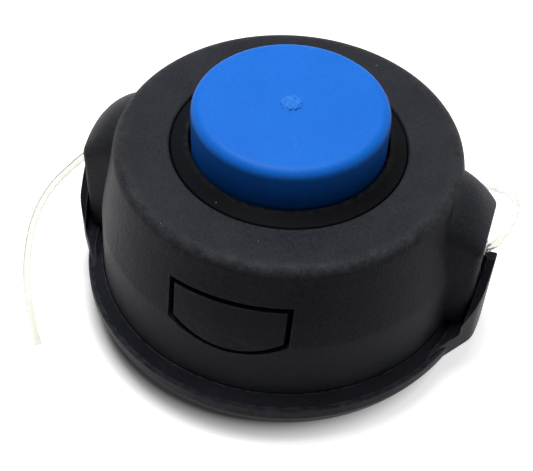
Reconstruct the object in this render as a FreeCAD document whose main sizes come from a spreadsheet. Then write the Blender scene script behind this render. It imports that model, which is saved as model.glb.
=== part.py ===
import FreeCAD, Part
import math
import os
from types import SimpleNamespace

import Sketcher
from FreeCAD import Placement, Rotation, Vector

# Bump feed trimmer head, standing on its gearbox side with the button up.
# Millimetres. The origin is the middle of the foot, +Z runs up the shaft axis,
# the line leaves the two ears along X, and the latches lie on Y.

SIZES = {
    # Clearances
    "fit_gap": 0.3,             # between moulded pieces that move past each other
    "running_gap": 0.08,        # radial, where one piece turns or slides on another
    "press_gap": 0.02,          # radial, between pieces pressed together
    "seat_gap": 0.05,           # between faces that rest on each other and move
    # Base housing
    "base_radius": 65.3,
    "rim_height": 16.8,
    "rim_droop": 2.3,
    "rim_width": 5.0,
    "bead_width": 0.7,
    "bead_rise": 0.35,
    "bottom_flare": 5.9,
    "bottom_rise": 11.0,
    "bottom_belly": 40.0,
    "recess_depth": 3.0,
    "floor_thickness": 3.0,
    "foot_width": 11.5,
    "ledge_rise": 2.0,
    "ledge_width": 3.8,
    "rib_thickness": 2.0,
    "rib_inset": 0.8,
    "rib_count": 8,
    "hub_radius": 17.0,
    "cup_wall": 3.0,
    "cup_height": 21.0,
    "boss_wall": 1.8,
    "boss_cap": 2.5,
    "post_radius": 9.0,
    "post_height": 43.5,
    "shaft_bore_radius": 6.5,
    "shaft_bore_depth": 34.0,
    # Guards that stand up from the rim outside the ears
    "guard_wall": 2.6,
    "guard_bottom": 8.0,
    "guard_rise": 0.4,
    "guard_tip_inner": 1.5,
    "guard_tip_half": 4.2,
    "guard_notch_drop": 4.5,
    "guard_notch_inner": 1.1,
    "guard_notch_half": 3.6,
    "guard_bend_half": 12.5,
    "guard_bend_drop": 11.5,
    "guard_low_bend_drop": 14.0,
    "guard_sweep": 24.0,
    "guard_foot_half": 28.0,
    "guard_plan_half": 34.0,
    "guard_flat_half": 12.0,
    "guard_corner": 9.0,
    "guard_round": 2.5,
    # Arbor nut, M12 x 1.75 left hand
    "nut_width": 19.0,
    "nut_height": 12.0,
    "nut_bore_radius": 5.05,
    "nut_chamfer": 1.0,
    "nut_spigot_radius": 8.0,
    "nut_spigot_height": 3.5,
    # Drive lugs of the bump feed
    "lug_count": 4,
    "lug_reach": 5.0,
    "lug_height": 5.0,
    "lug_half": 2.0,
    "spool_lug_half": 1.6,
    "lug_play": 0.2,
    "bump_travel": 7.0,
    # Spring and thrust washer
    "spring_radius": 15.0,
    "spring_wire": 1.0,
    "spring_turns": 4.5,
    "washer_seat": 30.0,
    "washer_thickness": 1.5,
    "washer_radius": 16.6,
    # Spool
    "spool_bottom": 14.0,
    "spool_top": 58.5,
    "flange_thickness": 2.0,
    "drum_room": 2.0,
    "drum_wall": 2.5,
    "spool_hub_wall": 4.0,
    "hub_roof": 6.5,
    "web_thickness": 3.0,
    "spool_rib_height": 15.0,
    "spool_rib_count": 6,
    "collar_gap": 0.8,
    "collar_width": 5.5,
    "collar_height": 5.9,
    "collar_rise": 1.9,
    "collar_lip": 0.9,
    "collar_round": 0.4,
    "collar_edge": 0.6,
    "stub_shoulder": 2.5,
    "stub_rise": 4.7,
    # Line
    "line_diameter": 2.4,
    "winding_fill": 0.6923,
    "winding_turns": 6,
    # Ball bearing, 12 x 28 x 8
    "bearing_bore_radius": 6.0,
    "bearing_radius": 14.0,
    "bearing_width": 8.0,
    "race_wall": 2.6,
    "ball_radius": 2.38,
    "ball_count": 8,
    "cage_half_width": 0.6,
    "cage_half_height": 3.0,
    "shield_thickness": 0.5,
    "shield_inset": 0.1,
    # Screw that clamps the inner race
    "screw_radius": 2.5,
    "screw_length": 13.0,
    "screw_head_radius": 4.5,
    "screw_head_height": 3.0,
    "screw_socket_half": 2.0,
    "screw_socket_depth": 1.8,
    "clamp_washer_radius": 8.4,
    "clamp_washer_thickness": 1.2,
    # Bump button
    "button_radius": 30.0,
    "button_head_room": 1.9,
    "button_lift": 2.0,
    "button_wall": 2.6,
    "button_round": 3.2,
    "button_hollow_corner": 2.0,
    "sleeve_wall": 2.8,
    "sleeve_drop": 1.6,
    "sleeve_stop": 1.8,
    "snap_bead": 0.6,
    "snap_height": 1.1,
    "snap_slot_half": 1.0,
    "snap_slot_rise": 7.0,
    "snap_slot_count": 4,
    "button_rib_height": 9.0,
    "button_rib_count": 6,
    "gate_radius": 3.4,
    "gate_rise": 0.3,
    # Cover
    "cover_top": 65.5,
    "top_dish": 0.7,
    "cover_wall": 2.6,
    "cover_opening_gap": 0.4,
    "skirt_taper": 1.0,
    "crease_height": 38.0,
    "crease_round": 12.0,
    "dome_taper": 5.6,
    "shoulder_round": 3.6,
    "opening_round": 0.8,
    "rest_ring_inset": 2.0,
    "rest_ring_width": 3.0,
    # Ears of the cover, where the line comes out
    "ear_proud": 5.3,
    "ear_root_depth": 1.8,
    "ear_root_half": 15.2,
    "ear_root_drop": 0.6,
    "ear_root_roof": 17.0,
    "ear_root_corner": 12.0,
    "ear_middle_run": 5.5,
    "ear_middle_half": 14.0,
    "ear_middle_drop": 3.7,
    "ear_middle_roof": 18.0,
    "ear_middle_corner": 9.0,
    "ear_tip_half": 12.4,
    "ear_tip_drop": 12.9,
    "ear_tip_roof": 22.0,
    "ear_tip_corner": 4.0,
    "ear_round": 2.6,
    "ear_hollow_depth": 3.0,
    "ear_hollow_drop": 3.4,
    "ear_hollow_tip_drop": 1.8,
    "exit_height": 40.0,
    # Eyelets in the ears
    "eyelet_bore_radius": 1.6,
    "eyelet_radius": 2.6,
    "eyelet_flange_radius": 4.2,
    "eyelet_flange": 1.0,
    "eyelet_proud": 0.3,
    # Latch windows in the cover and the sprung latches in them
    "window_half": 18.7,
    "window_top": 52.5,
    "window_corner": 37.5,
    "window_sag": 5.0,
    "latch_side_gap": 1.7,
    "latch_top_gap": 1.9,
    "latch_bottom_gap": 1.3,
    "latch_depth": 7.6,
    "latch_room": 3.4,
    "latch_stem_thickness": 2.2,
    "latch_stem_half": 8.0,
    "latch_lift": 0.1,
}

doc = FreeCAD.newDocument("trimmer_head")
sheet = doc.addObject("Spreadsheet::Sheet", "sizes")


class Size:
    """A number together with the sheet formula that gives it."""

    def __init__(self, value, text):
        self.value = float(value)
        self.text = text

    def __add__(self, other):
        other = as_size(other)
        return Size(self.value + other.value, f"({self.text} + {other.text})")

    def __sub__(self, other):
        other = as_size(other)
        return Size(self.value - other.value, f"({self.text} - {other.text})")

    def __mul__(self, other):
        other = as_size(other)
        return Size(self.value * other.value, f"({self.text} * {other.text})")

    def __truediv__(self, other):
        other = as_size(other)
        return Size(self.value / other.value, f"({self.text} / {other.text})")

    def __neg__(self):
        return Size(-self.value, f"(-{self.text})")


def as_size(number):
    return number if isinstance(number, Size) else Size(number, repr(float(number)))


def fill_sheet():
    """Write every driving dimension to the sheet, and give them back by name."""
    named = {}
    for row, (alias, value) in enumerate(SIZES.items(), start=1):
        sheet.set(f"A{row}", alias)
        sheet.set(f"B{row}", str(value))
        sheet.setAlias(f"B{row}", alias)
        named[alias] = Size(value, f"sizes.{alias}")
    doc.recompute()
    return SimpleNamespace(**named)


d = fill_sheet()
ZERO = as_size(0.0)


def bind(item, prop, size):
    """Tie a property to its formula in the sheet."""
    item.setExpression(prop, size.text)


def new_body(node):
    body = doc.addObject("PartDesign::Body", node)
    body.Label = node
    return body


def sketch_on(body, name, role, height=None, turn=None):
    """A sketch on one of the body's own planes, lifted and turned as asked."""
    sketch = body.newObject("Sketcher::SketchObject", name)
    plane = next(item for item in body.Origin.OriginFeatures if item.Role == role)
    sketch.AttachmentSupport = [(plane, "")]
    sketch.MapMode = "FlatFace"
    lift = as_size(height or 0.0)
    angle = as_size(turn or 0.0)
    sketch.AttachmentOffset = Placement(Vector(0, 0, lift.value), Rotation(Vector(0, 0, 1), angle.value))
    if height is not None:
        bind(sketch, "AttachmentOffset.Base.z", lift)
    if turn is not None:
        bind(sketch, "AttachmentOffset.Rotation.Angle", angle)
    return sketch


def hold(sketch, geometry, end, axis, size, name):
    """Fix one coordinate of a sketch point to a formula."""
    if abs(size.value) < 1e-9:
        line = -2 if axis == "DistanceX" else -1
        sketch.addConstraint(Sketcher.Constraint("PointOnObject", geometry, end, line))
        return
    number = sketch.addConstraint(Sketcher.Constraint(axis, -1, 1, geometry, end, size.value))
    sketch.renameConstraint(number, name)
    bind(sketch, f"Constraints.{name}", size)


def outline(sketch, corners, arcs=None):
    """Draw a closed outline. arcs gives, by corner number, the radius and side of a round stretch
    that starts there: +1 bulges to the left of the way, -1 to the right."""
    arcs = arcs or {}
    corners = [(as_size(across), as_size(up)) for across, up in corners]
    points = [Vector(across.value, up.value, 0) for across, up in corners]
    ends = []
    for number, first in enumerate(points):
        last = points[(number + 1) % len(points)]
        if number in arcs:
            radius, side = arcs[number]
            chord = last - first
            rise = radius.value - math.sqrt(max(0.0, radius.value ** 2 - chord.Length ** 2 / 4))
            middle = (first + last) * 0.5 + Vector(-chord.y, chord.x, 0).normalize() * (side * rise)
            geometry = sketch.addGeometry(Part.Arc(first, middle, last), False)
            ends.append((geometry, 2, 1) if side > 0 else (geometry, 1, 2))
            mark = sketch.addConstraint(Sketcher.Constraint("Radius", geometry, radius.value))
            sketch.renameConstraint(mark, f"arc{number}")
            bind(sketch, f"Constraints.arc{number}", radius)
        else:
            geometry = sketch.addGeometry(Part.LineSegment(first, last), False)
            ends.append((geometry, 1, 2))
    for number, (across, up) in enumerate(corners):
        geometry, start, _ = ends[number]
        before, _, finish = ends[number - 1]
        sketch.addConstraint(Sketcher.Constraint("Coincident", before, finish, geometry, start))
        hold(sketch, geometry, start, "DistanceX", across, f"across{number}")
        hold(sketch, geometry, start, "DistanceY", up, f"up{number}")


def circle(sketch, across, up, radius):
    across, up, radius = as_size(across), as_size(up), as_size(radius)
    centre = Vector(across.value, up.value, 0)
    geometry = sketch.addGeometry(Part.Circle(centre, Vector(0, 0, 1), radius.value), False)
    hold(sketch, geometry, 3, "DistanceX", across, "centre_across")
    hold(sketch, geometry, 3, "DistanceY", up, "centre_up")
    mark = sketch.addConstraint(Sketcher.Constraint("Radius", geometry, radius.value))
    sketch.renameConstraint(mark, "round")
    bind(sketch, "Constraints.round", radius)


def feature(body, kind, name, sketch):
    """Add a feature to the body that works on the sketch."""
    item = body.newObject(f"PartDesign::{kind}", name)
    item.Profile = sketch
    sketch.Visibility = False
    return item


def finish(item):
    """Compute the feature, and stop where it changes nothing."""
    before = item.BaseFeature.Shape.Volume if item.BaseFeature else 0.0
    doc.recompute()
    if abs(item.Shape.Volume - before) < 1e-6:
        raise RuntimeError(f"{item.Name} changes nothing")
    return item


def turned(body, name, corners, arcs=None, kind="Revolution"):
    """Turn a section, given as radius and height, about the shaft axis."""
    sketch = sketch_on(body, f"{name}_section", "XZ_Plane")
    outline(sketch, corners, arcs)
    item = feature(body, kind, name, sketch)
    item.ReferenceAxis = (sketch, ["V_Axis"])
    item.Angle = 360
    return finish(item)


def grooved(body, name, corners):
    return turned(body, name, corners, kind="Groove")


def raised(body, name, sketch, length, kind="Pad", both=False, reverse=False):
    """Pad or pocket a sketch by a length."""
    item = feature(body, kind, name, sketch)
    item.Midplane = both
    item.Reversed = reverse
    bind(item, "Length", as_size(length))
    return finish(item)


def through(body, name, sketch):
    """Cut a sketch through the whole body, both ways."""
    item = feature(body, "Pocket", name, sketch)
    item.Type = "ThroughAll"
    item.Midplane = True
    return finish(item)


def patterned(body, originals, count):
    """Repeat features evenly round the shaft axis."""
    name = f"{originals[0].Name}_ring"
    item = body.newObject("PartDesign::PolarPattern", name)
    item.Originals = originals
    axis = next(line for line in body.Origin.OriginFeatures if line.Role == "Z_Axis")
    item.Axis = (axis, [""])
    item.Angle = 360
    bind(item, "Occurrences", as_size(count))
    body.Tip = item
    doc.recompute()
    return item


def rounded(body, base, edges, radius):
    """Fillet the edges of the base feature that are numbered."""
    item = body.newObject("PartDesign::Fillet", f"{base.Name}_round")
    item.Base = (base, [f"Edge{number}" for number in edges])
    bind(item, "Radius", radius)
    return finish(item)


def ring_edges(base, *rings):
    """The numbers of the base's round edges with these radii and heights."""
    found = []
    for number, edge in enumerate(base.Shape.Edges, start=1):
        curve = edge.Curve
        if not isinstance(curve, Part.Circle):
            continue
        if abs(curve.Center.x) > 1e-4 or abs(curve.Center.y) > 1e-4:
            continue
        for radius, height in rings:
            if abs(curve.Radius - radius.value) < 1e-4 and abs(curve.Center.z - height.value) < 1e-4:
                found.append(number)
    return found


def edges_where(base, test):
    """The numbers of the base's edges whose every sampled point passes the test."""
    found = []
    for number, edge in enumerate(base.Shape.Edges, start=1):
        if all(test(point) for point in edge.discretize(5)):
            found.append(number)
    return found


def root_of(size):
    return Size(math.sqrt(size.value), f"sqrt({size.text})")


def arc_sine(size):
    return Size(math.degrees(math.asin(size.value)), f"asin({size.text})")


def hexagon(half_width):
    """The corners of a hexagon with this distance from its middle to its flats."""
    corner = half_width / math.cos(math.radians(30))
    return [(corner * math.cos(math.radians(60 * side)), corner * math.sin(math.radians(60 * side)))
            for side in range(6)]


def box_corners(low_across, high_across, low_up, high_up):
    return [(low_across, low_up), (high_across, low_up), (high_across, high_up), (low_across, high_up)]


# Heights and radii that several pieces share
floor_top = d.recess_depth + d.floor_thickness
nut_shoulder = d.nut_height - d.nut_spigot_height
base_inner = d.base_radius - d.rim_width
skirt_radius = base_inner - d.fit_gap
ledge_top = floor_top + d.ledge_rise
cup_radius = d.hub_radius + d.cup_wall
lug_bottom = d.cup_height - d.lug_height
lug_inner = cup_radius + d.fit_gap * 2
lug_turn = arc_sine((d.lug_half + d.lug_play + d.spool_lug_half) / lug_inner)
ear_bottom = d.rim_height + d.bead_rise + d.fit_gap
ear_reach = skirt_radius + d.ear_proud
guard_inner = root_of(ear_reach * ear_reach + d.ear_tip_half * d.ear_tip_half) + d.fit_gap
guard_radius = guard_inner + d.guard_wall
guard_height = d.exit_height + d.guard_rise
guard_flat = root_of(guard_radius * guard_radius - d.guard_flat_half * d.guard_flat_half)
latch_inner = skirt_radius - d.latch_depth
flange_radius = latch_inner - d.latch_room
washer_top = d.washer_seat + d.washer_thickness
spool_hub_bottom = washer_top + d.seat_gap
drum_inner = cup_radius + d.lug_reach + d.drum_room
drum_radius = drum_inner + d.drum_wall
collar_inner = d.button_radius + d.collar_gap
collar_radius = collar_inner + d.collar_width
flange_middle = (d.spool_bottom + d.spool_top) / 2
bearing_bottom = d.spool_top + d.stub_rise
bearing_top = bearing_bottom + d.bearing_width
bearing_middle = bearing_bottom + d.bearing_width / 2
ball_pitch = (d.bearing_bore_radius + d.bearing_radius) / 2
clamp_top = bearing_top + d.clamp_washer_thickness
crease_radius = skirt_radius - d.skirt_taper
dome_top_radius = crease_radius - d.dome_taper
ear_root = dome_top_radius - d.ear_root_depth
opening_radius = collar_radius + d.cover_opening_gap
cover_under = d.cover_top - d.cover_wall
latch_half = d.window_half - d.latch_side_gap
latch_top = d.window_top - d.latch_top_gap
latch_corner = d.window_corner + d.latch_bottom_gap


def make_base():
    """Moulded tray with a rolled rim and two line guards, a spring cup and a hollow post."""
    body = new_body("base_housing")
    foot_outer = d.base_radius - d.bottom_flare
    foot_inner = foot_outer - d.foot_width
    rim_edge = d.rim_height - d.rim_droop
    bead_top = rim_edge + d.bead_rise
    ledge_inner = base_inner - d.ledge_width
    turned(body, "tray", [
        (ZERO, d.recess_depth), (foot_inner, d.recess_depth), (foot_inner, ZERO),
        (foot_outer, ZERO), (d.base_radius, d.bottom_rise),
        (d.base_radius, rim_edge), (d.base_radius - d.bead_width / 2, bead_top),
        (d.base_radius - d.bead_width * 1.5, bead_top), (d.base_radius - d.bead_width * 2, rim_edge),
        (base_inner, rim_edge), (base_inner, ledge_top), (ledge_inner, ledge_top),
        (ledge_inner, floor_top), (ZERO, floor_top)], {3: (d.bottom_belly, -1)})

    plan = sketch_on(body, "guard_plan", "XY_Plane", d.guard_bottom)
    rim_middle = d.base_radius - d.rim_width / 2
    root = root_of(rim_middle * rim_middle - d.guard_plan_half * d.guard_plan_half)
    outline(plan, [
        (root, -d.guard_plan_half), (guard_flat, -d.guard_flat_half),
        (guard_flat, d.guard_flat_half), (root, d.guard_plan_half)],
        {1: (guard_radius, -1), 3: (rim_middle, 1)})
    guards = patterned(body, [raised(body, "guard", plan, guard_height - d.guard_bottom)], 2)
    upright = edges_where(guards, lambda point: abs(point.x) > guard_inner.value * 0.8
                          and abs(abs(point.y) - d.guard_flat_half.value) < 1e-4
                          and math.hypot(point.x, point.y) > d.base_radius.value)
    rounded(body, guards, upright, d.guard_corner)
    grooved(body, "ear_room", box_corners(
        base_inner + d.fit_gap, guard_inner, d.rim_height, guard_height + d.fit_gap))

    above = sketch_on(body, "guard_top", "YZ_Plane")
    aside = d.guard_plan_half + d.guard_corner
    lid = guard_height + d.fit_gap
    notch = d.exit_height - d.guard_notch_drop
    outline(above, [
        (aside, lid), (aside, bead_top), (d.guard_foot_half, bead_top),
        (d.guard_bend_half, d.exit_height - d.guard_low_bend_drop), (d.guard_notch_half, notch),
        (-d.guard_notch_inner, notch), (-d.guard_tip_inner, guard_height), (-d.guard_tip_half, guard_height),
        (-d.guard_bend_half, d.exit_height - d.guard_bend_drop), (-d.guard_foot_half, bead_top),
        (-aside, bead_top), (-aside, lid)], {2: (d.guard_sweep, 1), 8: (d.guard_sweep, 1)})
    side = raised(body, "guard_trim", above, guard_radius + d.guard_wall, kind="Pocket", reverse=True)
    trim = patterned(body, [side], 2)
    under = edges_where(trim, lambda point: abs(point.z - d.guard_bottom.value) < 1e-4
                        and math.hypot(point.x, point.y) > d.base_radius.value + 1e-3)
    rounded(body, trim, under, d.guard_round)
    turned(body, "rim_slope", [
        (base_inner, rim_edge), (d.base_radius - d.bead_width * 2, rim_edge), (base_inner, d.rim_height)])

    boss_top = d.nut_height + d.boss_cap
    boss_radius = d.nut_width / math.sqrt(3) + d.boss_wall
    turned(body, "core", [
        (ZERO, ZERO), (d.hub_radius, ZERO), (d.hub_radius, d.recess_depth), (cup_radius, d.recess_depth),
        (cup_radius, d.cup_height), (d.hub_radius, d.cup_height), (d.hub_radius, floor_top),
        (boss_radius, floor_top), (boss_radius, boss_top), (d.post_radius, boss_top),
        (d.post_radius, d.post_height), (ZERO, d.post_height)])
    lug = sketch_on(body, "lug_plan", "XY_Plane", lug_bottom)
    outline(lug, box_corners(cup_radius - d.fit_gap, cup_radius + d.lug_reach, -d.lug_half, d.lug_half))
    patterned(body, [raised(body, "lug", lug, d.lug_height)], d.lug_count)
    rib = sketch_on(body, "rib_plan", "XY_Plane", d.rib_inset)
    outline(rib, box_corners(
        d.hub_radius - d.fit_gap, foot_inner + d.fit_gap, -d.rib_thickness / 2, d.rib_thickness / 2))
    patterned(body, [raised(body, "rib", rib, d.recess_depth - d.rib_inset + d.fit_gap)], d.rib_count)

    bore = sketch_on(body, "shaft_bore_plan", "XY_Plane")
    circle(bore, ZERO, ZERO, d.shaft_bore_radius)
    raised(body, "shaft_bore", bore, d.shaft_bore_depth, kind="Pocket", reverse=True)
    socket = sketch_on(body, "nut_socket_plan", "XY_Plane")
    outline(socket, hexagon(d.nut_width / 2 + d.press_gap))
    raised(body, "nut_socket", socket, nut_shoulder, kind="Pocket", reverse=True)
    seat = sketch_on(body, "spigot_seat_plan", "XY_Plane")
    circle(seat, ZERO, ZERO, d.nut_spigot_radius + d.press_gap)
    raised(body, "spigot_seat", seat, d.nut_height, kind="Pocket", reverse=True)


def make_arbor_nut():
    """Steel hexagon nut with a round spigot that takes the gearbox shaft, flush with the hub."""
    body = new_body("arbor_nut")
    plan = sketch_on(body, "nut_plan", "XY_Plane")
    outline(plan, hexagon(d.nut_width / 2))
    raised(body, "nut_blank", plan, nut_shoulder)
    spigot = sketch_on(body, "nut_spigot_plan", "XY_Plane")
    circle(spigot, ZERO, ZERO, d.nut_spigot_radius)
    raised(body, "nut_spigot", spigot, d.nut_height)
    bore = sketch_on(body, "nut_bore_plan", "XY_Plane")
    circle(bore, ZERO, ZERO, d.nut_bore_radius)
    raised(body, "nut_bore", bore, d.nut_height, kind="Pocket", reverse=True)
    corner = d.nut_width / math.sqrt(3)
    grooved(body, "nut_crown", [
        (corner - d.nut_chamfer, nut_shoulder), (corner + d.nut_chamfer, nut_shoulder - d.nut_chamfer),
        (corner + d.nut_chamfer, nut_shoulder)])


def make_spring():
    """Bump spring, from the floor of the cup to the thrust washer."""
    body = new_body("bump_spring")
    wire = sketch_on(body, "wire_section", "XZ_Plane")
    low = floor_top + d.spring_wire + d.seat_gap
    circle(wire, d.spring_radius, low, d.spring_wire)
    coil = feature(body, "AdditiveHelix", "coil", wire)
    coil.ReferenceAxis = (wire, ["V_Axis"])
    coil.Mode = "height-turns-angle"
    bind(coil, "Height", d.washer_seat - low - d.spring_wire - d.seat_gap)
    bind(coil, "Turns", d.spring_turns)
    finish(coil)


def make_thrust_washer():
    """Ring that slides on the post between the spring and the turning spool."""
    body = new_body("thrust_washer")
    turned(body, "washer", box_corners(
        d.post_radius + d.fit_gap, d.washer_radius, d.washer_seat, washer_top))


def make_spool():
    """Moulded spool: drum with three flanges, hub, two rings of drive lugs, collar and bearing stub."""
    body = new_body("spool")
    hub_inner = d.post_radius + d.running_gap
    hub_outer = hub_inner + d.spool_hub_wall
    roof_under = d.spool_top - d.hub_roof
    web_under = d.spool_top - d.web_thickness
    shoulder = d.bearing_bore_radius + d.stub_shoulder
    stub = d.bearing_bore_radius - d.press_gap
    stub_top = bearing_top - d.seat_gap
    collar_top = d.spool_top + d.collar_height
    lip_top = collar_top + d.collar_rise
    thick = d.flange_thickness
    blank = turned(body, "spool_blank", [
        (ZERO, roof_under), (hub_inner, roof_under), (hub_inner, spool_hub_bottom),
        (hub_outer, spool_hub_bottom), (hub_outer, web_under), (drum_inner, web_under),
        (drum_inner, d.spool_bottom), (flange_radius, d.spool_bottom),
        (flange_radius, d.spool_bottom + thick), (drum_radius, d.spool_bottom + thick),
        (drum_radius, flange_middle - thick / 2), (flange_radius, flange_middle - thick / 2),
        (flange_radius, flange_middle + thick / 2), (drum_radius, flange_middle + thick / 2),
        (drum_radius, d.spool_top - thick), (flange_radius, d.spool_top - thick),
        (flange_radius, d.spool_top), (collar_radius, d.spool_top), (collar_radius, collar_top),
        (collar_inner + d.collar_lip, lip_top), (collar_inner, lip_top), (collar_inner, d.spool_top),
        (shoulder, d.spool_top),
        (shoulder, bearing_bottom), (stub, bearing_bottom), (stub, stub_top), (ZERO, stub_top)])
    lip = rounded(body, blank, ring_edges(
        blank, (collar_inner, lip_top), (collar_inner + d.collar_lip, lip_top)), d.collar_round)
    rounded(body, lip, ring_edges(lip, (collar_radius, collar_top)), d.collar_edge)
    grooved(body, "screw_hole", box_corners(
        ZERO, d.screw_radius + d.press_gap, clamp_top - d.screw_length - d.fit_gap, bearing_top))
    half_pitch = Size(180.0, "180 deg") / d.lug_count
    for level, (height, turn) in enumerate([
            (lug_bottom, lug_turn), (lug_bottom + d.bump_travel, lug_turn + half_pitch)], start=1):
        plan = sketch_on(body, f"drive_lug_plan_{level}", "XY_Plane", height, turn)
        outline(plan, box_corners(
            lug_inner, drum_inner + d.drum_wall / 2, -d.spool_lug_half, d.spool_lug_half))
        patterned(body, [raised(body, f"drive_lug_{level}", plan, d.lug_height)], d.lug_count)
    rib = sketch_on(body, "spool_rib_plan", "XY_Plane", web_under - d.spool_rib_height)
    outline(rib, box_corners(
        hub_outer - d.fit_gap, drum_inner + d.fit_gap, -d.rib_thickness / 2, d.rib_thickness / 2))
    patterned(body, [raised(body, "spool_rib", rib, d.spool_rib_height + d.fit_gap)], d.spool_rib_count)


def make_winding(node, low, high):
    """Line wound on the spool between two flanges, with the top layer's turns as ridges."""
    body = new_body(node)
    bottom = low + d.press_gap
    pitch = (high - d.press_gap - bottom) / d.winding_turns
    crest = drum_radius + (flange_radius - drum_radius) * d.winding_fill
    valley = crest - d.line_diameter / 4
    inner = drum_radius + d.press_gap
    corners = [(inner, bottom), (valley, bottom)]
    for turn in range(SIZES["winding_turns"]):
        corners.append((crest, bottom + pitch * (turn + 0.5)))
        corners.append((valley, bottom + pitch * (turn + 1)))
    corners.append((inner, bottom + pitch * d.winding_turns))
    turned(body, f"{node}_turns", corners)


def make_bearing():
    """Deep groove ball bearing that lets the button stand still while the spool turns."""
    groove = d.ball_radius + d.running_gap
    inner_track = d.bearing_bore_radius + d.race_wall
    outer_track = d.bearing_radius - d.race_wall
    reach = root_of(groove * groove - (ball_pitch - inner_track) * (ball_pitch - inner_track))
    inner = new_body("bearing_inner_race")
    turned(inner, "inner_race", [
        (d.bearing_bore_radius, bearing_bottom), (inner_track, bearing_bottom),
        (inner_track, bearing_middle - reach), (inner_track, bearing_middle + reach),
        (inner_track, bearing_top), (d.bearing_bore_radius, bearing_top)], {2: (groove, 1)})
    outer = new_body("bearing_outer_race")
    turned(outer, "outer_race", [
        (outer_track, bearing_bottom), (d.bearing_radius, bearing_bottom), (d.bearing_radius, bearing_top),
        (outer_track, bearing_top), (outer_track, bearing_middle + reach),
        (outer_track, bearing_middle - reach)], {4: (groove, 1)})

    balls = doc.addObject("Part::Compound", "bearing_balls")
    balls.Label = "bearing_balls"
    spheres = []
    for number in range(SIZES["ball_count"]):
        angle = math.tau * number / SIZES["ball_count"]
        ball = doc.addObject("Part::Sphere", f"ball_{number + 1}")
        bind(ball, "Radius", d.ball_radius)
        bind(ball, "Placement.Base.x", ball_pitch * math.cos(angle))
        bind(ball, "Placement.Base.y", ball_pitch * math.sin(angle))
        bind(ball, "Placement.Base.z", bearing_middle)
        spheres.append(ball)
    balls.Links = spheres

    cage = new_body("bearing_cage")
    turned(cage, "cage_ring", box_corners(
        ball_pitch - d.cage_half_width, ball_pitch + d.cage_half_width,
        bearing_middle - d.cage_half_height, bearing_middle + d.cage_half_height))
    window = sketch_on(cage, "ball_window_plan", "YZ_Plane")
    circle(window, ZERO, bearing_middle, groove)
    cut = raised(cage, "ball_window", window, d.bearing_radius, kind="Pocket", reverse=True)
    patterned(cage, [cut], d.ball_count)

    shield_inner = inner_track + d.fit_gap
    shield_outer = outer_track - d.press_gap
    lower = bearing_bottom + d.shield_inset
    upper = bearing_top - d.shield_inset
    turned(new_body("bearing_shield_lower"), "lower_shield", box_corners(
        shield_inner, shield_outer, lower, lower + d.shield_thickness))
    turned(new_body("bearing_shield_upper"), "upper_shield", box_corners(
        shield_inner, shield_outer, upper - d.shield_thickness, upper))


def make_clamp():
    """Screw and washer that hold the inner race down on the spool."""
    turned(new_body("screw_washer"), "clamp_washer", box_corners(
        d.screw_radius + d.fit_gap, d.clamp_washer_radius, bearing_top, clamp_top))
    body = new_body("button_screw")
    tip = clamp_top - d.screw_length
    head_top = clamp_top + d.screw_head_height
    edge = d.screw_head_height / 5
    turned(body, "screw_blank", [
        (ZERO, tip), (d.screw_radius / 2, tip), (d.screw_radius, tip + d.screw_radius),
        (d.screw_radius, clamp_top), (d.screw_head_radius, clamp_top),
        (d.screw_head_radius, head_top - edge), (d.screw_head_radius - edge, head_top), (ZERO, head_top)])
    socket = sketch_on(body, "screw_socket_plan", "XY_Plane", head_top)
    outline(socket, hexagon(d.screw_socket_half))
    raised(body, "screw_socket", socket, d.screw_socket_depth, kind="Pocket")


def make_button():
    """Moulded cap that is bumped on the ground, snapped on to the bearing by its split sleeve."""
    body = new_body("tap_button")
    under = clamp_top + d.screw_head_height + d.button_head_room
    top = under + d.button_wall
    bottom = d.spool_top + d.button_lift
    hollow = d.button_radius - d.button_wall
    sleeve_inner = d.bearing_radius + d.press_gap
    sleeve_outer = sleeve_inner + d.sleeve_wall
    hook_top = bearing_bottom - d.seat_gap
    hook_bottom = bearing_bottom - d.snap_height
    sleeve_bottom = hook_bottom - d.sleeve_drop
    gate_top = top + d.gate_rise
    blank = turned(body, "button_blank", [
        (ZERO, under), (sleeve_inner - d.sleeve_stop, under), (sleeve_inner - d.sleeve_stop, bearing_top),
        (sleeve_inner, bearing_top), (sleeve_inner, hook_top), (sleeve_inner - d.snap_bead, hook_top),
        (sleeve_inner - d.snap_bead, hook_top - d.snap_height / 3), (sleeve_inner, hook_bottom),
        (sleeve_inner, sleeve_bottom), (sleeve_outer, sleeve_bottom), (sleeve_outer, under),
        (hollow - d.button_hollow_corner, under), (hollow, under - d.button_hollow_corner),
        (hollow, bottom), (d.button_radius, bottom), (d.button_radius, top),
        (d.gate_radius, top), (d.gate_radius * 0.8, gate_top), (d.gate_radius * 0.4, gate_top),
        (ZERO, top)])
    rounded(body, blank, ring_edges(blank, (d.button_radius, top)), d.button_round)
    slot = sketch_on(body, "snap_slot_plan", "XY_Plane", sleeve_bottom)
    outline(slot, box_corners(
        sleeve_inner - d.sleeve_stop, sleeve_outer + d.fit_gap, -d.snap_slot_half, d.snap_slot_half))
    cut = raised(body, "snap_slot", slot, d.snap_slot_rise, kind="Pocket", reverse=True)
    patterned(body, [cut], d.snap_slot_count)
    rib = sketch_on(body, "button_rib_plan", "XY_Plane", under - d.button_rib_height)
    outline(rib, box_corners(
        sleeve_outer - d.fit_gap, hollow + d.fit_gap, -d.rib_thickness / 2, d.rib_thickness / 2))
    pad = raised(body, "button_rib", rib, d.button_rib_height + d.fit_gap)
    patterned(body, [pad], d.button_rib_count)


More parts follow.
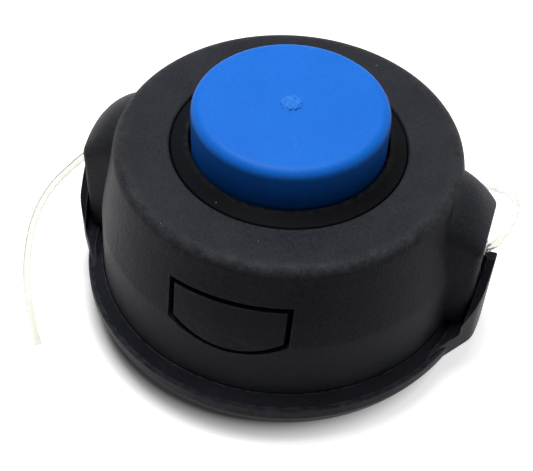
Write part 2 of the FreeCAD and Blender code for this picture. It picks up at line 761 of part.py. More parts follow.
def hood(body, name, distance, bottom, top, half, roof, corner):
    """An upright section across X: straight sides, a roof arc, and corner arcs that touch both."""
    sketch = sketch_on(body, name, "YZ_Plane", distance)
    inset = half - corner
    across = roof - corner
    rise = root_of(across * across - inset * inset)
    centre = top - roof
    side_top = centre + rise
    join = inset * roof / across
    join_top = centre + rise * roof / across
    outline(sketch, [
        (-half, bottom), (half, bottom), (half, side_top), (join, join_top), (ZERO, top),
        (-join, join_top), (-half, side_top)],
        {2: (corner, -1), 3: (roof, -1), 4: (roof, -1), 5: (corner, -1)})
    return sketch


def lofted(body, name, sections, kind="AdditiveLoft"):
    item = feature(body, kind, name, sections[0])
    item.Sections = sections[1:]
    for sketch in sections:
        sketch.Visibility = False
    return finish(item)


def panel(sketch, half, top, corner, sag):
    """The outline of a latch: straight top and sides, and a bottom that bellies down."""
    radius = (half * half + sag * sag) / (sag * 2)
    outline(sketch, [(half, top), (-half, top), (-half, corner), (half, corner)], {2: (radius, -1)})


def make_cover():
    """Moulded dome over the spool, with two ears, two latch windows and the button's opening."""
    body = new_body("cover")
    wall = d.cover_wall
    opening_top = d.cover_top - d.top_dish
    ring_inner = opening_radius + d.rest_ring_inset
    ring_outer = ring_inner + d.rest_ring_width
    ring_bottom = d.spool_top + d.fit_gap
    shell = turned(body, "shell", [
        (skirt_radius - wall, ledge_top), (skirt_radius, ledge_top), (skirt_radius, d.rim_height),
        (crease_radius, d.crease_height), (dome_top_radius, d.cover_top),
        (opening_radius, opening_top), (opening_radius, cover_under), (ring_inner, cover_under),
        (ring_inner, ring_bottom), (ring_outer, ring_bottom), (ring_outer, cover_under),
        (dome_top_radius - wall, cover_under), (crease_radius - wall, d.crease_height),
        (skirt_radius - wall, d.rim_height)])
    shoulder = rounded(body, shell, ring_edges(shell, (dome_top_radius, d.cover_top)), d.shoulder_round)
    crease = rounded(body, shoulder, ring_edges(
        shoulder, (crease_radius, d.crease_height)), d.crease_round)
    rounded(body, crease, ring_edges(crease, (opening_radius, opening_top)), d.opening_round)

    root_top = d.cover_top - d.ear_root_drop
    middle_top = d.cover_top - d.ear_middle_drop
    tip_top = d.cover_top - d.ear_tip_drop
    ear_middle = ear_root + d.ear_middle_run
    ear = lofted(body, "ear", [
        hood(body, "ear_root_section", ear_root, ear_bottom, root_top,
             d.ear_root_half, d.ear_root_roof, d.ear_root_corner),
        hood(body, "ear_middle_section", ear_middle, ear_bottom, middle_top,
             d.ear_middle_half, d.ear_middle_roof, d.ear_middle_corner),
        hood(body, "ear_tip_section", ear_reach, ear_bottom, tip_top,
             d.ear_tip_half, d.ear_tip_roof, d.ear_tip_corner)])
    ears = patterned(body, [ear], 2)
    tips = edges_where(ears, lambda point: abs(abs(point.x) - ear_reach.value) < 1e-4
                       and point.z > ear_bottom.value - 1e-4)
    flat = edges_where(ears, lambda point: abs(abs(point.x) - ear_reach.value) < 1e-4
                       and abs(point.z - ear_bottom.value) < 1e-4)
    rounded(body, ears, [number for number in tips if number not in flat], d.ear_round)
    hollow_bottom = ear_bottom - d.fit_gap
    hollow = lofted(body, "ear_hollow", [
        hood(body, "hollow_root_section", ear_root - d.ear_hollow_depth, hollow_bottom,
             root_top - d.ear_hollow_drop, d.ear_root_half - wall, d.ear_root_roof - wall,
             d.ear_root_corner - wall),
        hood(body, "hollow_middle_section", ear_middle, hollow_bottom,
             middle_top - d.ear_hollow_drop, d.ear_middle_half - wall, d.ear_middle_roof - wall,
             d.ear_middle_corner - wall),
        hood(body, "hollow_tip_section", ear_reach - wall, hollow_bottom,
             tip_top - d.ear_hollow_tip_drop, d.ear_tip_half - wall, d.ear_tip_roof - wall,
             d.ear_tip_corner - wall)], kind="SubtractiveLoft")
    patterned(body, [hollow], 2)

    window = sketch_on(body, "latch_window_plan", "XZ_Plane")
    panel(window, d.window_half, d.window_top, d.window_corner, d.window_sag)
    through(body, "latch_window", window)
    hole = sketch_on(body, "eyelet_hole_plan", "YZ_Plane")
    circle(hole, ZERO, d.exit_height, d.eyelet_radius + d.press_gap)
    through(body, "eyelet_hole", hole)


def make_eyelet(node, side):
    """Metal bush that leads the line out through the wall of an ear."""
    body = new_body(node)
    wall_inside = ear_reach - d.cover_wall
    end = ear_reach + d.eyelet_proud
    turned(body, f"{node}_bush", [
        (d.eyelet_bore_radius, wall_inside - d.eyelet_flange),
        (d.eyelet_flange_radius, wall_inside - d.eyelet_flange), (d.eyelet_flange_radius, wall_inside),
        (d.eyelet_radius, wall_inside), (d.eyelet_radius, end), (d.eyelet_bore_radius, end)])
    body.Placement = Placement(Vector(), Rotation(Vector(0, 1, 0), 90 * side))
    bind(body, "Placement.Base.z", d.exit_height)


def make_latch(node, turn):
    """Sprung finger that stands up from the floor behind the cover, with its tab in the window."""
    body = new_body(node)
    stem_outer = latch_inner + d.latch_stem_thickness
    foot = floor_top + d.latch_lift
    tab_bottom = latch_corner - d.window_sag
    beyond = skirt_radius + d.cover_wall
    dome_rise = d.cover_top - d.crease_height
    face_high = crease_radius - d.dome_taper * (latch_top - d.crease_height) / dome_rise
    stem = sketch_on(body, f"{node}_stem_plan", "XZ_Plane")
    outline(stem, box_corners(-d.latch_stem_half, d.latch_stem_half, foot, latch_corner))
    raised(body, f"{node}_stem", stem, beyond)
    grooved(body, f"{node}_stem_back", box_corners(stem_outer, beyond * 1.2, foot, latch_corner))
    tab = sketch_on(body, f"{node}_tab_plan", "XZ_Plane")
    panel(tab, latch_half, latch_top, latch_corner, d.window_sag)
    raised(body, f"{node}_tab", tab, beyond)
    grooved(body, f"{node}_face", [
        (crease_radius, tab_bottom), (beyond * 1.2, tab_bottom), (beyond * 1.2, latch_top),
        (face_high, latch_top)])
    bare = grooved(body, f"{node}_back", box_corners(ZERO, latch_inner, foot, latch_top))
    ends = edges_where(bare, lambda point: abs(point.z - foot.value) < 1e-4
                       and abs(point.x) < d.latch_stem_half.value + 1e-4)
    arcs = [number for number in ends if isinstance(bare.Shape.Edges[number - 1].Curve, Part.Circle)]
    rounded(body, bare, arcs, d.latch_stem_thickness * 0.45)
    body.Placement = Placement(Vector(), Rotation(Vector(0, 0, 1), turn))


# The way each line end lies, from its eyelet to the ground, for the sizes above
LEFT_ROUTE = [
    (-65.6, 0.0, 40.0), (-68.6, -2.5, 39.5), (-71.9, -8.0, 37.4), (-76.2, -15.2, 33.8), (-78.3, -24.0, 28.8),
    (-77.6, -33.6, 21.8), (-74.8, -42.3, 14.2), (-70.4, -49.6, 7.2), (-65.6, -55.5, 1.3)]
RIGHT_ROUTE = [
    (65.6, 0.0, 40.0), (68.4, 2.6, 40.2), (70.0, 8.2, 40.0), (71.4, 14.6, 39.4), (71.9, 21.0, 38.2),
    (71.2, 28.2, 35.8), (68.6, 35.8, 31.2), (64.4, 43.0, 25.2), (59.0, 49.6, 18.4), (53.2, 55.4, 11.4),
    (47.6, 60.2, 4.8), (44.6, 62.8, 1.3)]
ARC_SHARE = 0.45


def fitted(route):
    """The route moved out with its eyelet's end, and stretched with its height."""
    first = Vector(*route[0])
    outward = ear_reach.value + d.eyelet_proud.value - abs(first.x)
    stretch = d.exit_height.value / first.z
    return [Vector(x + math.copysign(outward, first.x), y, z * stretch) for x, y, z in route]


def rounded_path(points):
    """Straight runs joined by arcs as large as the runs allow, and the arcs' radii."""
    edges = []
    radii = []
    start = points[0]
    for before, corner, after in zip(points, points[1:], points[2:]):
        back = before - corner
        ahead = after - corner
        half_turn = (math.pi - back.getAngle(ahead)) / 2
        setback = ARC_SHARE * min(back.Length, ahead.Length)
        radius = setback / math.tan(half_turn)
        first = corner + back.normalize() * setback
        last = corner + ahead.normalize() * setback
        inward = ((first + last) * 0.5 - corner).normalize()
        middle = corner + inward * (radius / math.cos(half_turn) - radius)
        edges.append(Part.LineSegment(start, first).toShape())
        edges.append(Part.Arc(first, middle, last).toShape())
        radii.append(radius)
        start = last
    edges.append(Part.LineSegment(start, points[-1]).toShape())
    return Part.Wire(edges), radii


def make_line_end(node, route):
    """Free end of the cutting line, a plain round tube along its route."""
    radius = sheet.get("line_diameter") / 2
    points = fitted(route)
    path, radii = rounded_path(points)
    section = Part.Wire(Part.Circle(points[0], points[1] - points[0], radius).toShape())
    tube = path.makePipeShell([section], True, False)
    expected = math.pi * radius ** 2 * path.Length
    if abs(tube.Volume / expected - 1) > 0.01:
        raise RuntimeError(f"{node} has the wrong volume")
    print(node, "length", round(path.Length, 1), "radii", [round(value, 1) for value in radii])
    item = doc.addObject("Part::Feature", node)
    item.Label = node
    item.Shape = tube
    item.Placement = Placement()


def check_and_write(nodes):
    """Stop at any failed object, then write each sub-part to its own file."""
    doc.recompute()
    for item in doc.Objects:
        if "Invalid" in item.State or "Error" in item.State:
            raise RuntimeError(f"{item.Name} failed: {item.State}")
    shapes = {node: doc.getObjectsByLabel(node)[0].Shape for node in nodes}
    for node, shape in shapes.items():
        if shape.isNull() or not shape.isValid() or not shape.Solids:
            raise RuntimeError(f"{node} is not a sound solid")
    os.makedirs("parts", exist_ok=True)
    for node, shape in shapes.items():
        shape.exportStep(f"parts/{node}.step")


make_base()
make_arbor_nut()
make_spring()
make_thrust_washer()
make_spool()
make_winding("winding_lower", d.spool_bottom + d.flange_thickness, flange_middle - d.flange_thickness / 2)
make_winding("winding_upper", flange_middle + d.flange_thickness / 2, d.spool_top - d.flange_thickness)
make_bearing()
make_clamp()
make_button()
make_cover()
make_eyelet("eyelet_right", 1)
make_eyelet("eyelet_left", -1)
make_latch("latch_front", 0)
make_latch("latch_back", 180)
make_line_end("line_end_left", LEFT_ROUTE)
make_line_end("line_end_right", RIGHT_ROUTE)
check_and_write([
    "base_housing", "arbor_nut", "bump_spring", "thrust_washer", "spool", "winding_lower", "winding_upper",
    "bearing_inner_race", "bearing_outer_race", "bearing_balls", "bearing_cage", "bearing_shield_lower",
    "bearing_shield_upper", "screw_washer", "button_screw", "tap_button", "cover", "eyelet_left",
    "eyelet_right", "latch_front", "latch_back", "line_end_left", "line_end_right"])
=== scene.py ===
import math
import random

import bmesh
import bpy
from mathutils import Matrix, Vector


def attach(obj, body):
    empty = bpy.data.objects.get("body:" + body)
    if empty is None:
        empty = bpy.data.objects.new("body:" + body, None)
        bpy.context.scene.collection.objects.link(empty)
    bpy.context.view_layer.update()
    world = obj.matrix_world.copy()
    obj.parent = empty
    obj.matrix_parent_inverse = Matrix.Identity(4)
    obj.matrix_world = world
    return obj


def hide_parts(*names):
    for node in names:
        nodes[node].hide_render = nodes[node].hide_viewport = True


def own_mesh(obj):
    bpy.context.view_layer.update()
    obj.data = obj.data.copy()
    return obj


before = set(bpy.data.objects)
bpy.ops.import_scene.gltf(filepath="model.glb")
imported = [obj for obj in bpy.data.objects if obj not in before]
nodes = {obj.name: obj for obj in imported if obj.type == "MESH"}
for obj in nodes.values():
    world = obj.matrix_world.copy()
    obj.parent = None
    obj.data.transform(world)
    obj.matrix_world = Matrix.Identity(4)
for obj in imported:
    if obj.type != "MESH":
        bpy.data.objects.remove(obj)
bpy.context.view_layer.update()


# Base housing: the round tray that screws on to the gearbox and carries the rest, with a rolled rim
# and two guards outside the line outlets. Moulded in glass-filled nylon, black with a trace of blue,
# with a fine spark-eroded skin, a thin painted highlight line on the rim ridge, and edges along the
# rim and the guards painted paler as highlight and wear.

def ink(red, green, blue):
    """A colour given as it looks on screen, 0 to 255, as the renderer's own linear one."""
    def linear(level):
        share = level / 255
        return share / 12.92 if share <= 0.04045 else ((share + 0.055) / 1.055) ** 2.4
    return (linear(red), linear(green), linear(blue), 1.0)


def feed(tree, socket, given):
    """Set an input to a value, or feed it from another socket."""
    if isinstance(given, bpy.types.NodeSocket):
        tree.links.new(given, socket)
    else:
        socket.default_value = given


def put(tree, kind, *places, **sockets):
    """A new node. Its inputs are given in order, then by name with _ for a blank."""
    made = tree.nodes.new(kind)
    named = {name.replace("_", " "): given for name, given in sockets.items()}
    for key, given in [*enumerate(places), *named.items()]:
        feed(tree, made.inputs[key], given)
    return made


def reckon(tree, operation, *terms):
    """The result of a sum on values."""
    made = put(tree, "ShaderNodeMath", *terms)
    made.operation = operation
    return made.outputs["Value"]


def gauge(tree, operation, *vectors):
    """The value that a sum on vectors gives, such as a length."""
    made = put(tree, "ShaderNodeVectorMath", *vectors)
    made.operation = operation
    return made.outputs["Value"]


def spread(tree, value, low, high, to_low=0.0, to_high=1.0):
    """The value stretched from one range to another, and kept inside it."""
    return put(tree, "ShaderNodeMapRange", value, low, high, to_low, to_high).outputs["Result"]


def tint(tree, share, first, second):
    """Two colours mixed by a share."""
    made = tree.nodes.new("ShaderNodeMix")
    made.data_type = "RGBA"
    share_at, first_at, second_at, mixed_at = 0, 6, 7, 2
    for place, given in ((share_at, share), (first_at, first), (second_at, second)):
        feed(tree, made.inputs[place], given)
    return made.outputs[mixed_at]


def own_place(tree):
    """The place on the piece, in the frame's coordinates."""
    return put(tree, "ShaderNodeTexCoord").outputs["Object"]


def off_axis(tree, where):
    """How far a place is from the shaft axis."""
    flat = put(tree, "ShaderNodeVectorMath", where, (1.0, 1.0, 0.0))
    flat.operation = "MULTIPLY"
    return gauge(tree, "LENGTH", flat.outputs["Vector"])


def noise(tree, where, scale, detail, roughness=0.5):
    """Cloudy values about one half, as many to the metre as the scale says."""
    return put(tree, "ShaderNodeTexNoise", Vector=where, Scale=scale, Detail=detail,
               Roughness=roughness).outputs[0]


def new_group(name, inputs, outputs):
    """An empty shader group with its value sockets, and its two ends."""
    tree = bpy.data.node_groups.new(name, "ShaderNodeTree")
    for socket, value in inputs.items():
        made = tree.interface.new_socket(socket, in_out="INPUT", socket_type="NodeSocketFloat")
        made.default_value = value
    for socket in outputs:
        tree.interface.new_socket(socket, in_out="OUTPUT", socket_type="NodeSocketFloat")
    return tree, tree.nodes.new("NodeGroupInput").outputs, tree.nodes.new("NodeGroupOutput").inputs


def moulded_skin_group():
    """Spark-eroded skin of a moulding: fine grain for the bump, and clouds in its tone and gloss."""
    tree, given, made = new_group(
        "moulded_skin", {"Grain": 2200.0, "Clouds": 60.0}, ["Height", "Tone"])
    pits_to_grain, pit_share, cloud_share = 0.35, 0.4, 0.6
    dark_end, pale_end = 0.55, 1.05
    where = own_place(tree)
    fine = noise(tree, where, given["Grain"], detail=3.0, roughness=0.65)
    pit_scale = reckon(tree, "MULTIPLY", given["Grain"], pits_to_grain)
    pits = put(tree, "ShaderNodeTexVoronoi", Vector=where, Scale=pit_scale).outputs["Distance"]
    tree.links.new(reckon(tree, "MULTIPLY_ADD", pits, pit_share, fine), made["Height"])
    clouds = noise(tree, where, given["Clouds"], detail=5.0, roughness=0.6)
    speckle = reckon(tree, "MULTIPLY_ADD", clouds, cloud_share, fine)
    tree.links.new(spread(tree, speckle, dark_end, pale_end), made["Tone"])
    return tree


def edge_highlight_and_wear_group():
    """A broken pale line along sharp edges, convex and concave: painted edge highlight, and handling
    wear.
    """
    tree, given, made = new_group("edge_highlight_and_wear", {"Width": 0.0006, "Breaks": 300.0}, ["Mask"])
    flat_cosine, sharp_cosine = 0.99, 0.82
    whole_end, highlight_and_wear_end = 0.35, 0.65
    rounded = put(tree, "ShaderNodeBevel", Radius=given["Width"]).outputs["Normal"]
    true = put(tree, "ShaderNodeNewGeometry").outputs["Normal"]
    edge = spread(tree, gauge(tree, "DOT_PRODUCT", rounded, true), flat_cosine, sharp_cosine)
    breaks = noise(tree, own_place(tree), given["Breaks"], detail=4.0)
    highlight_and_wear = spread(tree, breaks, whole_end, highlight_and_wear_end)
    tree.links.new(reckon(tree, "MULTIPLY", edge, highlight_and_wear), made["Mask"])
    return tree


def highlight_and_scuff_band_group():
    """A ring about the shaft axis painted paler as a painted highlight, broken into scuffs."""
    tree, given, made = new_group(
        "highlight_and_scuff_band", {"Inner": 0.0, "Outer": 0.01, "Breaks": 300.0}, ["Mask"])
    whole_end, highlight_and_wear_end = 0.42, 0.72
    where = own_place(tree)
    radius = off_axis(tree, where)
    middle = reckon(tree, "MULTIPLY", reckon(tree, "ADD", given["Inner"], given["Outer"]), 0.5)
    sides = [spread(tree, radius, given[side], middle) for side in ("Inner", "Outer")]
    breaks = noise(tree, where, given["Breaks"], detail=8.0, roughness=0.75)
    scuffs_and_highlight = spread(tree, breaks, whole_end, highlight_and_wear_end)
    ring = reckon(tree, "MINIMUM", *sides)
    tree.links.new(reckon(tree, "MULTIPLY", ring, scuffs_and_highlight), made["Mask"])
    return tree


def dust_group():
    """Pale specks of dust, few and far apart. Share is how many of the cells hold a speck."""
    tree, given, made = new_group("dust_specks", {"Spacing": 0.003, "Share": 0.12}, ["Mask"])
    speck_to_cell = 0.055
    scale = reckon(tree, "DIVIDE", 1.0, given["Spacing"])
    cells = put(tree, "ShaderNodeTexVoronoi", Vector=own_place(tree), Scale=scale).outputs
    near = reckon(tree, "LESS_THAN", cells["Distance"], speck_to_cell)
    draw = put(tree, "ShaderNodeSeparateColor", cells["Color"]).outputs["Red"]
    holds = reckon(tree, "LESS_THAN", draw, given["Share"])
    tree.links.new(reckon(tree, "MULTIPLY", near, holds), made["Mask"])
    return tree


moulded_skin = moulded_skin_group()
edge_highlight_and_wear = edge_highlight_and_wear_group()
highlight_and_scuff_band = highlight_and_scuff_band_group()
dust_specks = dust_group()


def placed(tree, group, **sockets):
    """A shared group in a material, with that material's own values."""
    made = tree.nodes.new("ShaderNodeGroup")
    made.node_tree = group
    for name, value in sockets.items():
        made.inputs[name].default_value = value
    return made.outputs


def new_material(name):
    """A material with nodes, and its tree."""
    material = bpy.data.materials.new(name)
    material.use_nodes = True
    return material, material.node_tree


def laid_over(tree, colour, mask, share, over):
    """A colour with a share of another one laid over it where the mask lets it."""
    return tint(tree, reckon(tree, "MULTIPLY", mask, share), colour, over)


def clothe(tree, colour, roughness, height, strength, depth):
    """Give a material's body its colour, roughness and bump. Returns the body's inputs."""
    bump = put(tree, "ShaderNodeBump", Strength=strength, Distance=depth, Height=height)
    body = tree.nodes["Principled BSDF"].inputs
    tree.links.new(colour, body["Base Color"])
    tree.links.new(roughness, body["Roughness"])
    tree.links.new(bump.outputs["Normal"], body["Normal"])
    return body


def black_moulding(name, deep, highlight_and_wear, grain, depth, gloss, shine, edge_highlight_and_wear_share, band):
    """Black moulded plastic. gloss is its range of roughness, shine its specular level, the edge share
    how far its edges are painted pale, as highlight and wear, and band the two radii of a ring of
    painted highlight, broken into scuffs."""
    material, tree = new_material(name)
    darker, paler = 0.6, 1.65
    scuff_and_highlight_share, dust_share = 0.32, 0.5
    skin = placed(tree, moulded_skin, Grain=grain, Clouds=55.0)
    edge = placed(tree, edge_highlight_and_wear, Width=0.0007, Breaks=350.0)["Mask"]
    scuffs_and_highlight = placed(tree, highlight_and_scuff_band, Inner=band[0], Outer=band[1], Breaks=420.0)["Mask"]
    dust = placed(tree, dust_specks, Spacing=0.004, Share=0.08)["Mask"]
    shades = ([level * times for level in deep[:3]] + [1.0] for times in (darker, paler))
    colour = tint(tree, skin["Tone"], *shades)
    # The scuffed band is a painted highlight, and the pale edge lines are painted edge highlights and
    # wear.
    colour = laid_over(tree, colour, scuffs_and_highlight, scuff_and_highlight_share, highlight_and_wear)
    colour = laid_over(tree, colour, edge, edge_highlight_and_wear_share, highlight_and_wear)
    colour = laid_over(tree, colour, dust, dust_share, ink(150, 150, 148))
    roughness = spread(tree, skin["Tone"], 0.0, 1.0, *gloss)
    body = clothe(tree, colour, roughness, skin["Height"], strength=0.5, depth=depth)
    body["Specular IOR Level"].default_value = shine
    return material


def dress(material, *names):
    """Give CAD nodes a material."""
    for name in names:
        nodes[name].data.materials.clear()
        nodes[name].data.materials.append(material)


base_plastic = black_moulding(
    "base_plastic", deep=ink(27, 28, 35), highlight_and_wear=ink(92, 93, 98), grain=2200.0, depth=0.0001,
    gloss=(0.34, 0.5), shine=0.05, edge_highlight_and_wear_share=0.9, band=(0.0646, 0.0656))
dress(base_plastic, "base_housing")


# Arbor nut: the steel hexagon nut in the hub that takes the gearbox shaft, with a left-hand thread.
# Turned from bar and zinc plated, and pressed into its socket.

def turned_marks_group():
    """Rings left by turning about the shaft axis: a fine ripple for the bump and the gloss."""
    tree, given, made = new_group("turned_marks", {"Rings": 2500.0}, ["Ripple"])
    where = own_place(tree)
    level = put(tree, "ShaderNodeSeparateXYZ", where).outputs["Z"]
    section = put(tree, "ShaderNodeCombineXYZ", off_axis(tree, where), 0.0, level).outputs["Vector"]
    tree.links.new(noise(tree, section, given["Rings"], detail=2.0), made["Ripple"])
    return tree


turned_marks = turned_marks_group()


def bright_metal(name, colour, stain, gloss, rings):
    """Machined metal with turning rings, and a stain that clouds its tone."""
    material, tree = new_material(name)
    trough, crest = 0.3, 0.7
    ripple = placed(tree, turned_marks, Rings=rings)["Ripple"]
    skin = placed(tree, moulded_skin, Grain=1500.0, Clouds=220.0)
    stained = tint(tree, skin["Tone"], colour, stain)
    roughness = spread(tree, ripple, trough, crest, *gloss)
    body = clothe(tree, stained, roughness, ripple, strength=0.15, depth=0.00003)
    body["Metallic"].default_value = 1.0
    return material


zinc_plate = bright_metal(
    "zinc_plate", ink(196, 198, 200), stain=ink(160, 160, 156), gloss=(0.24, 0.42), rings=2000.0)
dress(zinc_plate, "arbor_nut")


# Bump spring and thrust washer: the coil in the cup of the base that pushes the spool back up after
# a bump, of oiled spring wire, and the pressed steel ring between it and the turning spool. The coil
# is squeezed between its seat and the ring when the button is bumped.

spring_wire = bright_metal(
    "spring_wire", ink(96, 94, 92), stain=ink(62, 58, 54), gloss=(0.28, 0.46), rings=900.0)
dress(spring_wire, "bump_spring")
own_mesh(nodes["bump_spring"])
dress(zinc_plate, "thrust_washer")


# Spool: moulded drum with three flanges that carries both lines; only its collar shows, the dark
# ring round the button. Acetal, smoother and blacker than the cover, with a painted highlight ring on
# the collar's inner lip and edges painted paler as highlight and wear.

spool_plastic = black_moulding(
    "spool_plastic", deep=ink(15, 16, 19), highlight_and_wear=ink(78, 78, 78), grain=3200.0, depth=0.00004,
    gloss=(0.42, 0.54), shine=0.02, edge_highlight_and_wear_share=0.9, band=(0.030, 0.033))
dress(spool_plastic, "spool")


# Windings: the two lines, wound one above the other on the drum, between its flanges. Clear nylon
# that turns straw yellow where it lies thick.

def nylon(name, colour, deep, clear, gloss, streaks):
    """Extruded nylon line: slightly milky and streaky. clear is how much of the light goes through."""
    material, tree = new_material(name)
    thin_end, thick_end = 0.3, 0.7
    nylon_refraction = 1.53
    milk = noise(tree, own_place(tree), streaks, detail=4.0, roughness=0.6)
    cloud = spread(tree, milk, thin_end, thick_end)
    roughness = spread(tree, cloud, 0.0, 1.0, *gloss)
    body = clothe(tree, tint(tree, cloud, colour, deep), roughness, milk, strength=0.1, depth=0.00004)
    body["Transmission Weight"].default_value = clear
    body["IOR"].default_value = nylon_refraction
    return material


winding_nylon = nylon(
    "winding_nylon", ink(226, 220, 196), deep=ink(204, 194, 160), clear=0.15, gloss=(0.3, 0.45),
    streaks=500.0)
dress(winding_nylon, "winding_lower", "winding_upper")


# Ball bearing and its clamp: lets the button stand still on the ground while the spool turns. Ground
# steel races, polished balls, pressed cage and shields, held down by a zinc plated screw and washer.

bearing_steel = bright_metal(
    "bearing_steel", ink(188, 188, 190), stain=ink(168, 168, 172), gloss=(0.14, 0.26), rings=3500.0)
dress(bearing_steel, "bearing_inner_race", "bearing_outer_race", "bearing_balls", "bearing_cage",
      "bearing_shield_lower", "bearing_shield_upper")
dress(zinc_plate, "screw_washer", "button_screw")


# Bump button: the cap that is knocked on the ground to let out line, snapped on to the bearing.
# Moulded in bright blue polyamide with a dull skin; the torn mark of its gate is left on the crown.

def blue_moulding(name, deep, pale):
    """Blue moulded plastic with a dull skin, a few pale scuffs and some dust."""
    material, tree = new_material(name)
    whole_end, scuffed_end = 0.62, 0.78
    scuff_and_highlight_share, dust_share = 0.12, 0.25
    gloss, shine = (0.46, 0.6), 0.16
    skin = placed(tree, moulded_skin, Grain=1800.0, Clouds=42.0)
    dust = placed(tree, dust_specks, Spacing=0.005, Share=0.1)["Mask"]
    scrapes = noise(tree, own_place(tree), 240.0, detail=6.0, roughness=0.7)
    scuffs_and_highlight = spread(tree, scrapes, whole_end, scuffed_end)
    colour = tint(tree, skin["Tone"], deep, pale)
    colour = laid_over(tree, colour, scuffs_and_highlight, scuff_and_highlight_share, ink(120, 170, 240))
    colour = laid_over(tree, colour, dust, dust_share, ink(190, 205, 235))
    roughness = spread(tree, skin["Tone"], 0.0, 1.0, *gloss)
    body = clothe(tree, colour, roughness, skin["Height"], strength=0.35, depth=0.00005)
    body["Specular IOR Level"].default_value = shine
    return material


button_plastic = blue_moulding("button_plastic", deep=ink(6, 98, 202), pale=ink(20, 114, 220))
dress(button_plastic, "tap_button")


def new_piece(name, bm):
    """An object at the origin with the mesh that was made, in the scene."""
    mesh = bpy.data.meshes.new(name)
    bm.to_mesh(mesh)
    bm.free()
    piece = bpy.data.objects.new(name, mesh)
    bpy.context.scene.collection.objects.link(piece)
    return piece


def gate_scar(radius, rise):
    """The stub torn off at the moulding's gate: a ragged lump on the crown with a hollow in it."""
    ragged = random.Random(5)
    hollow_reach, hollow_share = 0.6, 0.15
    crown = max(corner[2] for corner in nodes["tap_button"].bound_box)
    bm = bmesh.new()
    bmesh.ops.create_icosphere(bm, subdivisions=3, radius=1.0)
    for corner in bm.verts:
        hollow = hollow_share if corner.co.xy.length < hollow_reach else 1.0
        corner.co.z = crown + corner.co.z * rise * hollow * ragged.uniform(0.35, 1.4)
        corner.co.xy *= radius * ragged.uniform(0.8, 1.15)
    scar = new_piece("gate_scar", bm)
    torn_blue = blue_moulding("torn_blue", deep=ink(2, 88, 190), pale=ink(48, 136, 230))
    scar.data.materials.append(torn_blue)
    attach(scar, "button")


gate_scar(radius=0.0031, rise=0.00045)


# Cover: the domed lid with the two line outlets, held by the latches. Glass-filled nylon from a
# coarser eroded tool than the base, charcoal, with edges painted greyer as highlight and wear, and a
# scuffed band of painted highlight on the shoulder.

cover_plastic = black_moulding(
    "cover_plastic", deep=ink(38, 39, 44), highlight_and_wear=ink(96, 96, 96), grain=1500.0, depth=0.0004,
    gloss=(0.36, 0.56), shine=0.05, edge_highlight_and_wear_share=0.5, band=(0.0485, 0.0560))
dress(cover_plastic, "cover")


# Eyelets: turned aluminium bushes in the ears, which keep the line from sawing through them. Paler
# and softer in their shine than the steel.

turned_aluminium = bright_metal(
    "turned_aluminium", ink(214, 215, 217), stain=ink(190, 191, 194), gloss=(0.3, 0.5), rings=1600.0)
dress(turned_aluminium, "eyelet_left", "eyelet_right")


# Latches: sprung fingers on the base, whose tabs fill the windows of the cover. Pressed in together,
# they let the cover off. The tabs carry nearly the cover's grain, a shade darker.

# Its edges are painted paler as highlight and wear, and a paler scuffed ring is painted across the
# tabs.
latch_plastic = black_moulding(
    "latch_plastic", deep=ink(32, 33, 37), highlight_and_wear=ink(84, 84, 86), grain=1700.0, depth=0.0003,
    gloss=(0.38, 0.56), shine=0.05, edge_highlight_and_wear_share=0.7, band=(0.057, 0.060))
dress(latch_plastic, "latch_front", "latch_back")


# Line ends: the two free ends of the clear nylon cutting line, each through its eyelet and curling
# down to the ground as it came off the spool. Cut square with snips.

line_diameter = 0.0024
line_nylon = nylon(
    "line_nylon", ink(251, 250, 244), deep=ink(244, 242, 231), clear=0.76, gloss=(0.12, 0.2),
    streaks=260.0)


def line_end(name, node, route):
    """A cord along its route from the eyelet to the cut end, in place of the CAD's plain tube."""
    curve = bpy.data.curves.new(name, "CURVE")
    curve.dimensions = "3D"
    curve.bevel_depth = line_diameter / 2
    curve.bevel_resolution = 5
    curve.resolution_u = 10
    curve.use_fill_caps = True
    spline = curve.splines.new("NURBS")
    spline.points.add(len(route) - 1)
    for point, place in zip(spline.points, route):
        point.co = (*place, 1.0)
    spline.order_u = 3
    spline.use_endpoint_u = True
    curve.materials.append(line_nylon)
    line = bpy.data.objects.new(name, curve)
    bpy.context.scene.collection.objects.link(line)
    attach(line, "housing")
    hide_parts(node)


line_end("cutting_line_left", "line_end_left", [
    (-0.0656, 0.0, 0.0400), (-0.0686, -0.0025, 0.0395), (-0.0719, -0.0080, 0.0374),
    (-0.0762, -0.0152, 0.0338), (-0.0783, -0.0240, 0.0288), (-0.0776, -0.0336, 0.0218),
    (-0.0748, -0.0423, 0.0142), (-0.0704, -0.0496, 0.0072), (-0.0656, -0.0555, 0.0013)])
line_end("cutting_line_right", "line_end_right", [
    (0.0656, 0.0, 0.0400), (0.0684, 0.0026, 0.0402), (0.0700, 0.0082, 0.0400),
    (0.0714, 0.0146, 0.0394), (0.0719, 0.0210, 0.0382), (0.0712, 0.0282, 0.0358),
    (0.0686, 0.0358, 0.0312), (0.0644, 0.0430, 0.0252), (0.0590, 0.0496, 0.0184),
    (0.0532, 0.0554, 0.0114), (0.0476, 0.0602, 0.0048), (0.0446, 0.0628, 0.0013)])


# Studio: a wide sheet of white paper with the part standing on it, lit by one soft box above and
# behind. A black card on the paper in front, seen in reflections only, keeps the white of the paper
# off the dome. The camera stands as it did for the photograph, 533 by 471.

floor_half = 3.0
bm = bmesh.new()
bmesh.ops.create_grid(bm, x_segments=1, y_segments=1, size=floor_half)
floor = new_piece("paper_floor", bm)

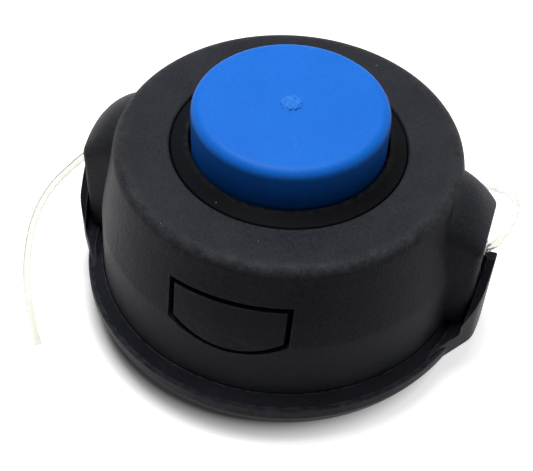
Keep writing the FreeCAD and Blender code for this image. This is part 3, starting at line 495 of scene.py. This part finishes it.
view_turn = math.radians(15.0)
card_near, card_far, card_half, card_height = 0.125, 0.9, 0.6, 0.0005
bm = bmesh.new()
bmesh.ops.create_grid(bm, x_segments=1, y_segments=1, size=1.0, matrix=(
    Matrix.Rotation(view_turn, 4, "Z")
    @ Matrix.Translation((0.0, -(card_near + card_far) / 2, card_height))
    @ Matrix.Diagonal((card_half, (card_far - card_near) / 2, 1.0, 1.0))))
card = new_piece("black_card", bm)
card.visible_camera = False
card.visible_diffuse = False
card.visible_shadow = False


def matt_sheet(name, shade):
    """Grey paper or card without any shine."""
    material, tree = new_material(name)
    body = tree.nodes["Principled BSDF"].inputs
    body["Base Color"].default_value = ink(shade, shade, shade)
    body["Specular IOR Level"].default_value = 0.0
    return material, tree


black_card, _ = matt_sheet("black_card", 30)
card.data.materials.append(black_card)


def seen_rays(tree):
    """1 for what the camera sees, straight or in a reflection or through something clear."""
    path = put(tree, "ShaderNodeLightPath").outputs
    both = reckon(tree, "MAXIMUM", path["Is Camera Ray"], path["Is Glossy Ray"])
    return reckon(tree, "MAXIMUM", both, path["Is Transmission Ray"])


# The paper is washed out to white, less and less towards the part's foot: the weaker glow there is a
# painted contact shadow round the foot, its centre set a little to the left and the front so that it
# reaches further out on those sides.
shade_centre = (-0.004, -0.0017, 0.0)
foot_reach, rim_reach, clear_reach = 0.0585, 0.0668, 0.0950
foot_glow, rim_glow, added_glow = 0.02, 0.74, 0.20
paper, paper_tree = matt_sheet("white_paper", 211)
paper_far = gauge(paper_tree, "DISTANCE", own_place(paper_tree), shade_centre)
near_glow = spread(paper_tree, paper_far, foot_reach, rim_reach, foot_glow, rim_glow)
far_glow = spread(paper_tree, paper_far, rim_reach, clear_reach, 0.0, added_glow)
glow_level = reckon(paper_tree, "MULTIPLY", seen_rays(paper_tree),
                    reckon(paper_tree, "ADD", near_glow, far_glow))
glow = put(paper_tree, "ShaderNodeEmission", Strength=glow_level).outputs["Emission"]
lit_paper = paper_tree.nodes["Principled BSDF"].outputs["BSDF"]
washed_paper = put(paper_tree, "ShaderNodeAddShader", lit_paper, glow).outputs["Shader"]
paper_tree.links.new(washed_paper, paper_tree.nodes["Material Output"].inputs["Surface"])
floor.data.materials.append(paper)

ambient_level = 0.04
world = bpy.data.worlds.new("studio")
bpy.context.scene.world = world
world.use_nodes = True
room = world.node_tree
around = room.nodes["Background"].inputs
around["Color"].default_value = (1.0, 1.0, 1.0, 1.0)
room.links.new(spread(room, seen_rays(room), 0.0, 1.0, ambient_level, 1.0), around["Strength"])


def soft_box(name, place, aim, size, power):
    """A square area lamp that faces its aim."""
    lamp = bpy.data.lights.new(name, "AREA")
    lamp.size = size
    lamp.energy = power
    holder = bpy.data.objects.new(name, lamp)
    holder.location = place
    holder.rotation_mode = "QUATERNION"
    holder.rotation_quaternion = (Vector(aim) - Vector(place)).to_track_quat("-Z", "Y")
    bpy.context.scene.collection.objects.link(holder)


soft_box("overhead_box", place=(-0.11, 0.12, 0.90), aim=(0.0, 0.0, 0.05), size=0.45, power=8.5)

view_rise = math.radians(42.80)
view_distance = 0.340
view_centre = Vector((0.0, 0.0, 0.064))
tilt = math.radians(4.875)
pan = math.radians(0.867)
roll = math.radians(3.556)
focal_pixels = 1104.07
picture_width = 533

camera_data = bpy.data.cameras.new("camera")
camera_data.sensor_width = 36.0
camera_data.lens = focal_pixels * camera_data.sensor_width / picture_width
camera_data.clip_start = 0.01
camera = bpy.data.objects.new("camera", camera_data)
around_axis = Matrix.Rotation(view_turn, 4, "Z")
back = Vector((0.0, -math.cos(view_rise), math.sin(view_rise))) * view_distance
camera.matrix_world = (
    Matrix.Translation(view_centre + around_axis @ back) @ around_axis
    @ Matrix.Rotation(math.pi / 2 - view_rise - tilt, 4, "X")
    @ Matrix.Rotation(pan, 4, "Y") @ Matrix.Rotation(roll, 4, "Z"))
bpy.context.scene.collection.objects.link(camera)
bpy.context.scene.camera = camera
bpy.context.scene.view_settings.view_transform = "Standard"
